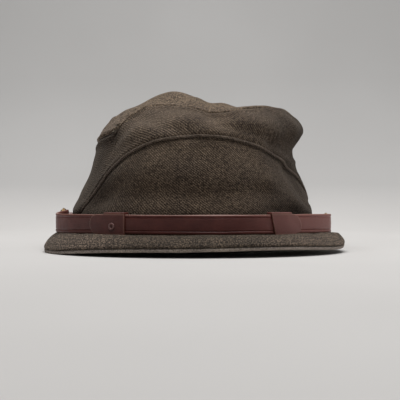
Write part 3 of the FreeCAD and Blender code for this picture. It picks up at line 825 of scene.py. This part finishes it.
PEAK_THICK = 3.4
PEAK_FRONT = 7.3                 # height of the top face in the middle of the front edge
PEAK_LEVEL = 13.1                # height it climbs to at the crown
PEAK_CLIMB = 5.5
PEAK_SLOPE = 0.20
PEAK_ARCH = 6.28e-4
PEAK_DROOP = 6.6e-8
PEAK_ROLL = 0.0155
PEAK_BACK = -62.0                # y of the widest line of the peak
PEAK_RETURN = 46.0
PEAK_CORNER = 2.0 / 3.0
PEAK_END = 0.677                 # turn past the widest line at which the peak meets the crown
ROOT_END = 1.27
STITCH_ROWS = 7
STITCH_PITCH = 5.2
STITCH_FIRST = 3.2


def peak_outline(angle):
    """Point of the peak's outline at an angle about the middle of its widest line."""
    low, high = box_mm("peak_edge_binding")
    half_width = (high[0] - low[0]) / 2
    reach = PEAK_BACK - low[1]
    across, along = np.cos(angle), np.sin(angle)
    behind = along > 0
    x = half_width * np.where(behind, np.sign(across) * np.abs(across) ** PEAK_CORNER, across)
    y = PEAK_BACK + np.where(behind, PEAK_RETURN * np.abs(along) ** PEAK_CORNER, reach * along)
    return np.stack([x, y], -1)


def edge_height(x, y):
    """Height of the peak's top face along its edge."""
    front = PEAK_BACK - 84.0
    climb = PEAK_FRONT + PEAK_SLOPE * (y - front) + PEAK_ROLL * x
    return np.minimum(climb - PEAK_ARCH * x ** 2 - PEAK_DROOP * x ** 4, PEAK_LEVEL - 0.4)


def peak_level(x, y):
    """Height of the cloth at the crown, worn into a shallow groove where the keepers slide."""
    turn = np.degrees(np.arctan2(x - STRAP_CENTRE[0], STRAP_CENTRE[1] - y))
    reach = np.hypot(x - STRAP_CENTRE[0], y - STRAP_CENTRE[1])
    worn = step(125, 120.5, reach) * step(106, 110, reach) * step(-46, -41, turn) * step(50, 45, turn)
    return PEAK_LEVEL - 1.9 * worn


def peak_grid(rows, count):
    """Plan points from the crown to the edge, the top face's height, and the share of the way."""
    outline = peak_outline(np.linspace(-math.pi - PEAK_END, PEAK_END, count))
    root_angle = np.linspace(-ROOT_END, ROOT_END, count)
    root = np.stack([94.5 * np.sin(root_angle), 1.0 - 99.0 * np.cos(root_angle)], -1)
    share = np.linspace(0, 1, rows)[:, None, None]
    plan = root[None] * (1 - share) + outline[None] * share
    edge = edge_height(outline[:, 0], outline[:, 1])[None]
    level = np.maximum(peak_level(plan[..., 0], plan[..., 1]), edge)
    top = level - (level - edge) * share[..., 0] ** PEAK_CLIMB
    return plan, outline, top


def edge_distance(plan, outline):
    """Distance of each plan point from the outline."""
    best = np.full(plan.shape[:-1], 1e9)
    for a, b in zip(outline[:-1], outline[1:]):
        along = b - a
        t = np.clip(((plan - a) @ along) / (along @ along), 0, 1)
        best = np.minimum(best, np.linalg.norm(plan - a - t[..., None] * along, axis=-1))
    return best


def quilt(from_edge):
    """Puffs between the rows of stitching."""
    nearest = np.full(from_edge.shape, 9.0)
    for k in range(STITCH_ROWS):
        nearest = np.minimum(nearest, np.abs(from_edge - STITCH_FIRST - k * STITCH_PITCH))
    return 0.28 * (1 - np.exp(-(nearest / 1.1) ** 2))


def make_peak(materials):
    """Cloth covers over the board, puffed between rows of stitching, and the lip under the edge."""
    plan, outline, top = peak_grid(64, 320)
    from_edge = edge_distance(plan, outline)
    x, y = plan[..., 0], plan[..., 1]
    puff = quilt(from_edge) + 0.22 * waves(np.stack([x, y, top], -1), 30, 21)
    round_over = 0.45 * (1 - np.sqrt(np.clip(1 - (1 - np.clip(from_edge / 1.4, 0, 1)) ** 2, 0, 1)))
    upper = np.stack([x, y, top + puff - round_over], -1)
    under = np.stack([x, y, np.minimum(top - 0.8, upper[..., 2] - 0.25)], -1)
    uvs = np.stack([x, y], -1)
    piece = sheet_solid("peak_top_cover", upper, under, uvs)
    finish_piece(piece, "cap", "peak_cloth", materials["peak"], "peak_top_cloth")
    core = slice(0, -2)
    board_top = np.stack([x, y, top - 0.9], -1)[core]
    board_low = np.stack([x, y, top - 2.3], -1)[core]
    piece = sheet_solid("peak_board_sheet", board_top, board_low, uvs[core])
    finish_piece(piece, "cap", "board", materials["board"], "peak_board")
    inner = slice(0, -3)
    low_top = np.stack([x, y, top - PEAK_THICK + 1.0], -1)[inner]
    low_face = np.stack([x, y, top - PEAK_THICK + 0.15 * quilt(from_edge)], -1)[inner]
    piece = sheet_solid("peak_under_cover", low_top, low_face, uvs[inner])
    finish_piece(piece, "cap", "peak_cloth", materials["peak"], "peak_under_cloth")
    make_peak_lip(outline, top[-1], materials)
    make_peak_stitches(plan, from_edge, upper, materials)


def make_peak_lip(outline, edge, materials):
    """Folded under-lip that shows as a thin line below the peak's edge."""
    x, y = outline[:, 0], outline[:, 1]
    path = np.stack([x * 0.990, (y - PEAK_BACK) * 0.989 + PEAK_BACK, edge - 2.25], -1)
    out = np.tile([0.0, 0.0, 1.0], (len(path), 1))
    piece = tube("peak_lip", path, 0.95, sides=14, flatten=1.25, out=out)
    finish_piece(piece, "cap", "peak_cloth", materials["lip"], "peak_edge_binding")


def make_peak_stitches(plan, from_edge, upper, materials):
    """Concentric rows of stitches sunk between the puffs of the peak."""
    stitches = []
    for k in range(STITCH_ROWS):
        inset = STITCH_FIRST + k * STITCH_PITCH
        path = []
        for column in range(plan.shape[1]):
            distances = from_edge[::-1, column]
            if distances.max() > inset + 1.5:
                spot = [np.interp(inset, distances, upper[::-1, column, axis]) for axis in range(3)]
                path.append(spot)
        path = np.array(path)
        travelled = np.concatenate([[0], np.cumsum(np.linalg.norm(np.diff(path, axis=0), axis=1))])
        for start in np.arange(0.5, travelled[-1] - 3, 3.1):
            a = np.array([np.interp(start, travelled, path[:, axis]) for axis in range(3)])
            b = np.array([np.interp(start + 2.3, travelled, path[:, axis]) for axis in range(3)])
            stitches.append((a, b, np.array([0, 0, 1.0])))
    piece = stitch_row("peak_stitching", stitches, 0.3)
    finish_piece(piece, "cap", "thread", materials["thread"], "peak_stitch_rows")


# ---- chinstrap ----------------------------------------------------------------------------------

STRAP_THICK = 1.9
STRAP_GAP = 0.2
ROUND_END = 58.06
TURN_RADIUS = 24.0
TURN_PAST = 20.0
RETURN_RADIUS = 16.0
KEEPER_CLEAR = 0.3
KEEPER_WALL = 1.3
OUTER_END = -33.0
INNER_END = 38.0

keeper_low, keeper_high = box_mm("left_keeper")
STRAP_CENTRE = np.array(JOINTS["keeper_slide"]["pos_m"][:2]) / MM
STRAP_RADIUS = STRAP_CENTRE[1] - box_mm("chinstrap_outer_half")[0][1]
STRAP_BOTTOM = keeper_low[2] + KEEPER_CLEAR + KEEPER_WALL - 0.3
STRAP_TOP = keeper_high[2] - KEEPER_CLEAR - KEEPER_WALL + 0.3
STRAP_MIDDLE = (STRAP_BOTTOM + STRAP_TOP) / 2
BUTTON_Y = JOINTS["left_button_spin"]["pos_m"][1] / MM
BUTTON_HEIGHT = {
    -1: JOINTS["left_button_spin"]["pos_m"][2] / MM,
    1: JOINTS["right_button_spin"]["pos_m"][2] / MM,
}
STRAP_TAIL_START = -50.0


def arc_points(centre, radius, start, end, count):
    angle = np.radians(np.linspace(start, end, count))
    return np.stack([centre[0] + radius * np.cos(angle), centre[1] + radius * np.sin(angle)], -1)


def strap_line(depth, side, free_end):
    """Plan line of a strap half's outer face, from its free end to behind its button.

    The half that lies underneath comes out level with the other past the keeper, and goes back at its button.
    """
    main = arc_points((0, 0), 1.0, free_end * side - 90, ROUND_END - 90, 110)
    from_front = np.degrees(np.arctan2(main[:, 1], main[:, 0])) + 90
    main *= (STRAP_RADIUS - depth * (1 - step(39, 52, from_front)))[:, None]
    middle = math.radians(ROUND_END - 90)
    reach = STRAP_RADIUS - TURN_RADIUS
    turn_centre = (reach * math.cos(middle), reach * math.sin(middle))
    turn = arc_points((0, 0), 1.0, ROUND_END - 90, TURN_PAST, 26)
    turn *= (TURN_RADIUS - depth * step(0.3, 1.0, np.linspace(0, 1, 26)))[:, None]
    turn += turn_centre
    past = math.radians(TURN_PAST)
    span = TURN_RADIUS + RETURN_RADIUS
    back_centre = (turn_centre[0] + span * math.cos(past), turn_centre[1] + span * math.sin(past))
    back = arc_points(back_centre, RETURN_RADIUS + depth, 180 + TURN_PAST, 180, 10)
    tail_end = BUTTON_Y + (STRAP_TOP - STRAP_BOTTOM) / 2 - STRAP_CENTRE[1]
    tail_y = np.linspace(back[-1][1], tail_end, 14)[1:]
    tail = np.stack([np.full(13, back[-1][0]), tail_y], -1)
    line = np.concatenate([main, turn[1:], back[1:], tail])
    return np.stack([STRAP_CENTRE[0] + side * line[:, 0], STRAP_CENTRE[1] + line[:, 1]], -1)


def tail_height(y, side):
    """How far the strap's middle has climbed or dropped towards its button."""
    share = np.clip((y - STRAP_TAIL_START) / (BUTTON_Y - STRAP_TAIL_START), 0, 1)
    return (BUTTON_HEIGHT[side] - STRAP_MIDDLE) * share * share * (3 - 2 * share)


def strap_section():
    """Half-height profile of the strap: share of the height, depth below the outer face, and edge lightness,
    raw edge with a painted highlight.
    """
    half = (STRAP_TOP - STRAP_BOTTOM) / 2
    face = []
    for z in np.concatenate([np.linspace(-half, -half + 3.4, 22), np.linspace(-half + 4.4, half - 4.4, 7),
                             np.linspace(half - 3.4, half, 22)]):
        edge = half - abs(z)
        depth = 0.45 * (1 - min(1, edge / 0.6)) ** 2
        depth += 0.30 * math.exp(-((edge - 2.15) / 0.33) ** 2)
        depth -= 0.10 * math.exp(-((edge - 1.2) / 0.7) ** 2)
        face.append((z, depth, max(0.0, 1 - edge / 0.6) * 0.95))
    back = [(z, STRAP_THICK - 0.35 * max(0, 1 - (half - abs(z)) / 0.5), 0.15)
            for z in np.linspace(half - 0.05, -half + 0.05, 9)]
    return face + back


def make_strap_half(name, node, depth, side, free_end, materials):
    """Band with rounded edges, lighter as raw leather with a painted highlight, and a tooled line near each
    edge.
    """
    line = strap_line(depth, side, free_end)
    along = np.gradient(line, axis=0)
    along /= np.linalg.norm(along, axis=1, keepdims=True)
    out = np.stack([along[:, 1], -along[:, 0]], -1) * side
    travelled = np.concatenate([[0], np.cumsum(np.linalg.norm(np.diff(line, axis=0), axis=1))])
    section = np.array(strap_section())
    half = (STRAP_TOP - STRAP_BOTTOM) / 2
    from_end = travelled[-1] - travelled
    squeeze = np.sqrt(np.clip(1 - np.clip(1 - from_end / half, 0, 1) ** 2, 0.0, 1))
    squeeze = np.maximum(squeeze, 0.04)
    wobble = 0.12 * np.sin(travelled * 0.045 + side) + 0.06 * np.sin(travelled * 0.13)
    middle = STRAP_MIDDLE + wobble + tail_height(line[:, 1], side)
    hang = 0.12 * step(-60, -95, line[:, 0]) + 0.06 * step(60, 95, line[:, 0])
    lower = 1 + hang[:, None] * (section[None, :, 0] < 0)
    z = middle[:, None] + section[None, :, 0] * lower * squeeze[:, None]
    inward = section[None, :, 1] + 0 * z
    x = line[:, 0, None] - out[:, 0, None] * inward
    y = line[:, 1, None] - out[:, 1, None] * inward
    grid = np.stack([x, y, z], -1)
    count = len(section)
    vertices = grid.reshape(-1, 3)
    faces = []
    for k in range(len(line) - 1):
        for s in range(count):
            after = (s + 1) % count
            faces.append((k * count + s, k * count + after, (k + 1) * count + after, (k + 1) * count + s))
    faces.append(tuple(range(count)))
    faces.append(tuple(range((len(line) - 1) * count, len(line) * count))[::-1])
    uvs = np.stack(np.broadcast_arrays(travelled[:, None], section[None, :, 0]), -1).reshape(-1, 2)
    marks = np.broadcast_to(section[None, :, 2], grid.shape[:2]).ravel()
    piece = clean(new_mesh(name, vertices, faces, uvs, marks))
    finish_piece(piece, "chinstrap", "strap_leather", materials["strap"], node)


def bent_block(depth_in, depth_out, outline, slant=0.0):
    """Closed block on the strap's round front: an outline of (degrees, height) between two depths."""
    vertices = []
    for radius in (STRAP_RADIUS - depth_in, STRAP_RADIUS - depth_out):
        for degrees, z in outline:
            angle = math.radians(degrees + slant * (z - STRAP_MIDDLE))
            x = STRAP_CENTRE[0] + radius * math.sin(angle)
            y = STRAP_CENTRE[1] - radius * math.cos(angle)
            vertices.append((x, y, z))
    count = len(outline)
    faces = [tuple(range(count)), tuple(range(count, 2 * count))[::-1]]
    faces += [(k, k + count, (k + 1) % count + count, (k + 1) % count) for k in range(count)]
    return vertices, faces


def keeper_outline(tongue_end, inner_edge, low, high):
    """Plate with a round tongue at one end, in degrees and height, going round."""
    radius = (high - low) / 2
    turn = math.degrees(radius / STRAP_RADIUS)
    toward = 1 if tongue_end > inner_edge else -1
    middle = (low + high) / 2
    points = [(d, low) for d in np.linspace(inner_edge, tongue_end - toward * turn, 12)]
    for angle in np.linspace(-90, 90, 20)[1:-1]:
        a = math.radians(angle)
        points.append((tongue_end - toward * turn * (1 - math.cos(a) ** 0.8), middle + radius * math.sin(a)))
    points += [(d, high) for d in np.linspace(tongue_end - toward * turn, inner_edge, 12)]
    return points


def fuse_blocks(name, blocks, voxel=0.32, rounds=5):
    """Joins closed blocks into one soft-edged leather piece."""
    vertices, faces = [], []
    for more_vertices, more_faces in blocks:
        first = len(vertices)
        vertices += more_vertices
        faces += [tuple(first + k for k in face) for face in more_faces]
    rough = clean(new_mesh(name + "_rough", np.array(vertices), faces))
    remesh = rough.modifiers.new("remesh", "REMESH")
    remesh.mode = "VOXEL"
    remesh.voxel_size = voxel * MM
    soften = rough.modifiers.new("soften", "SMOOTH")
    soften.factor = 0.5
    soften.iterations = rounds
    bpy.context.view_layer.update()
    evaluated = rough.evaluated_get(bpy.context.evaluated_depsgraph_get())
    mesh = bpy.data.meshes.new_from_object(evaluated)
    piece = bpy.data.objects.new(name, mesh)
    bpy.context.scene.collection.objects.link(piece)
    bpy.data.objects.remove(rough)
    mesh.polygons.foreach_set("use_smooth", [True] * len(mesh.polygons))
    return piece


def mark_rim_highlight(piece, outline, slant):
    """Marks the rim of a keeper's plate, where it is painted lighter as a highlight."""
    spots = np.array([tuple(v.co) for v in piece.data.vertices]) / MM
    x, y, z = spots[:, 0] - STRAP_CENTRE[0], STRAP_CENTRE[1] - spots[:, 1], spots[:, 2]
    around = np.degrees(np.arctan2(x, y)) - slant * (z - STRAP_MIDDLE)
    scale = math.radians(STRAP_RADIUS)
    line = [(d * scale, height) for d, height in outline]
    distance = line_distance(np.stack([around * scale, z], -1), line + line[:1])
    outside = np.hypot(x, y) > STRAP_RADIUS + KEEPER_CLEAR + 0.5
    marks = 0.65 * np.exp(-(distance / 0.6) ** 2) * outside
    attribute = piece.data.attributes.new("mark", "FLOAT", "POINT")
    attribute.data.foreach_set("value", marks.astype(np.float32))


def make_keeper(name, node, body, tongue_end, loop_end, inner_edge, slant, materials):
    hole_in = 2 * STRAP_THICK + STRAP_GAP + KEEPER_CLEAR
    low, high = STRAP_BOTTOM - KEEPER_CLEAR, STRAP_TOP + KEEPER_CLEAR
    far_low, far_high = low - KEEPER_WALL, high + KEEPER_WALL
    ends = np.linspace(inner_edge, loop_end, 14)

    def strip(z0, z1):
        return [(d, z0) for d in ends] + [(d, z1) for d in ends[::-1]]

    blocks = [
        bent_block(-KEEPER_CLEAR - KEEPER_WALL, -KEEPER_CLEAR,
                   keeper_outline(tongue_end, inner_edge, low, high), slant),
        bent_block(-KEEPER_CLEAR - KEEPER_WALL, hole_in + KEEPER_WALL, strip(high, far_high), slant),
        bent_block(-KEEPER_CLEAR - KEEPER_WALL, hole_in + KEEPER_WALL, strip(far_low, low), slant),
        bent_block(hole_in, hole_in + KEEPER_WALL, strip(low, high), slant),
    ]
    piece = fuse_blocks(name, blocks)
    mark_rim_highlight(piece, keeper_outline(tongue_end, inner_edge, low, high), slant)
    finish_piece(piece, body, "keeper_leather", materials["keeper"], node)


def lathe(name, profile, centre, axis, sides=48):
    """Turned piece: profile of (radius, distance along the axis), about an axis through centre."""
    axis = np.asarray(axis, float) / np.linalg.norm(axis)
    first = np.cross(axis, [0, 0, 1.0])
    first /= np.linalg.norm(first)
    second = np.cross(axis, first)
    vertices = []
    for radius, along in profile:
        for k in range(sides):
            turn = 2 * math.pi * k / sides
            outwards = math.cos(turn) * first + math.sin(turn) * second
            vertices.append(centre + axis * along + radius * outwards)
    faces = []
    for ring in range(len(profile) - 1):
        for k in range(sides):
            a = ring * sides + k
            b = ring * sides + (k + 1) % sides
            faces.append((a, b, b + sides, a + sides))
    faces.append(tuple(range(sides))[::-1])
    faces.append(tuple(range((len(profile) - 1) * sides, len(profile) * sides)))
    return clean(new_mesh(name, np.array(vertices), faces))


def make_stud(materials):
    """Rolled ring of a tubular rivet on the left keeper."""
    low, high = box_mm("keeper_stud")
    middle = (low + high) / 2
    centre = np.array([STRAP_CENTRE[0], STRAP_CENTRE[1], middle[2]])
    out = np.array([middle[0] - centre[0], middle[1] - centre[1], 0])
    out /= np.linalg.norm(out)
    face = STRAP_RADIUS + KEEPER_CLEAR + KEEPER_WALL
    base = centre + out * (face - 0.5)
    radius = (high[2] - low[2]) / 2
    profile = [(radius, 0.0), (radius, 0.5), (radius * 0.98, 0.8), (radius * 0.88, 1.05),
               (radius * 0.74, 1.15), (radius * 0.58, 1.05), (radius * 0.46, 0.75),
               (radius * 0.40, 0.35), (radius * 0.2, 0.3), (0.02, 0.35)]
    piece = lathe("keeper_stud_ring", profile, base, out, 40)
    finish_piece(piece, "chinstrap", "stud", materials["stud"], "keeper_stud")


def make_chinstrap(materials):
    """Two strap halves, the keeper with a stud, and the plain keeper that slides."""
    make_strap_half("strap_outer_half", "chinstrap_outer_half", 0.0, 1, OUTER_END, materials)
    make_strap_half("strap_inner_half", "chinstrap_inner_half", STRAP_THICK + STRAP_GAP, -1, INNER_END,
                    materials)
    make_keeper("keeper_with_stud", "left_keeper", "chinstrap", -37.6, -31.4, -23.3, 0.0, materials)
    make_keeper("keeper_plain", "right_keeper", "sliding_keeper", 40.0, 36.4, 28.0, -0.10, materials)
    make_stud(materials)


# ---- buttons and small metal parts --------------------------------------------------------------

def make_buttons(materials):
    """Domed button faces with a rolled rim, and finishes for the small metal parts behind them."""
    for name, side in (("left", -1), ("right", 1)):
        node = name + "_button_face"
        low, high = box_mm(node)
        near = min(abs(low[0]), abs(high[0]))
        depth = high[0] - low[0]
        radius = (high[2] - low[2]) / 2 * 1.06
        profile = [(radius * 0.80, 0.0), (radius * 0.97, 0.05), (radius, 0.4), (radius * 0.99, 0.9),
                   (radius * 0.94, 1.1), (radius * 0.90, 0.95)]
        for k in range(1, 12):
            share = 1 - k / 12
            profile.append((radius * 0.88 * math.sin(share * math.pi / 2) + 0.01,
                            0.95 + (depth - 0.95) * math.cos(share * math.pi / 2)))
        centre = np.array([side * near, BUTTON_Y, BUTTON_HEIGHT[side]])
        piece = lathe(name + "_button_dome", profile, centre, [side, 0, 0])
        finish_piece(piece, name + "_button", "button", materials["brass"], node)
    looks = {
        "left_button_shank": "brass", "right_button_shank": "brass", "left_split_ring": "steel",
        "right_split_ring": "steel", "side_eyelets": "brass", "side_washers": "keeper",
    }
    for node, look in looks.items():
        piece = frame["nodes"][node]
        piece.data.materials.clear()
        piece.data.materials.append(materials[look])


# ---- stage, light and camera --------------------------------------------------------------------

def make_stage():
    """Pale floor that curves up into a plain backdrop."""
    profile = [(-2.4, 0.0), (0.30, 0.0)]
    for k in range(1, 25):
        angle = math.pi / 2 * k / 24
        profile.append((0.30 + 0.55 * math.sin(angle), 0.55 * (1 - math.cos(angle))))
    profile.append((0.85, 2.6))
    vertices = []
    for y, z in profile:
        vertices += [(-3.0 / MM, y / MM, z / MM), (3.0 / MM, y / MM, z / MM)]
    faces = [(2 * k, 2 * k + 1, 2 * k + 3, 2 * k + 2) for k in range(len(profile) - 1)]
    floor = new_mesh("floor_sweep", vertices, faces)
    n = Nodes("floor_paint")
    tone = n.noise(n.place(), 0.004, 2.0, 0.5)
    pale = n.ramp(tone, [(0.3, (0.53, 0.515, 0.50)), (0.7, (0.56, 0.545, 0.53))])
    height = n.add("ShaderNodeSeparateXYZ", {0: n.place()}).outputs["Z"]
    shade = n.ramp(n.maths("DIVIDE", height, 400.0), [(0.0, (1, 1, 1)), (0.15, (0.74, 0.745, 0.75)),
                                                         (0.6, (0.64, 0.645, 0.65))])
    n.set(Base_Color=n.mix(1.0, pale, shade, "MULTIPLY"), Roughness=0.85)
    floor.data.materials.append(n.material)


def area_light(name, place, aim, size, power, colour=(1, 1, 1)):
    light = bpy.data.lights.new(name, "AREA")
    light.shape = "RECTANGLE"
    light.size, light.size_y = size
    light.energy = power
    light.color = colour
    lamp = bpy.data.objects.new(name, light)
    bpy.context.scene.collection.objects.link(lamp)
    lamp.location = place
    direction = np.array(aim) - np.array(place)
    lamp.rotation_euler = Vector(direction).to_track_quat("-Z", "Y").to_euler()


def make_light_and_camera():
    scene = bpy.context.scene
    scene.view_settings.view_transform = "Standard"
    world = bpy.data.worlds.new("studio")
    world.use_nodes = True
    world.node_tree.nodes["Background"].inputs["Color"].default_value = (0.98, 0.99, 1.0, 1)
    world.node_tree.nodes["Background"].inputs["Strength"].default_value = 0.115
    scene.world = world
    area_light("top_softbox", (0.05, 0.05, 1.25), (0, 0.02, 0), (1.5, 1.1), 24)
    area_light("right_softbox", (1.3, -0.1, 0.26), (0, 0, 0.03), (1.2, 0.4), 1.3, (1.0, 0.96, 0.93))
    area_light("left_softbox", (-1.3, -0.2, 0.26), (0, 0, 0.03), (0.9, 0.4), 0.55)
    camera = bpy.data.objects.new("camera", bpy.data.cameras.new("camera"))
    scene.collection.objects.link(camera)
    camera.location = (0.004, -0.700, 0.037)
    camera.rotation_euler = (math.pi / 2, 0, 0)
    camera.data.lens = 79
    camera.data.sensor_width = 36
    camera.data.clip_start = 0.01
    scene.camera = camera


# ---- build --------------------------------------------------------------------------------------

materials = make_materials()
make_crown_pieces(materials)
make_peak(materials)
make_chinstrap(materials)
make_buttons(materials)
make_stage()
make_light_and_camera()
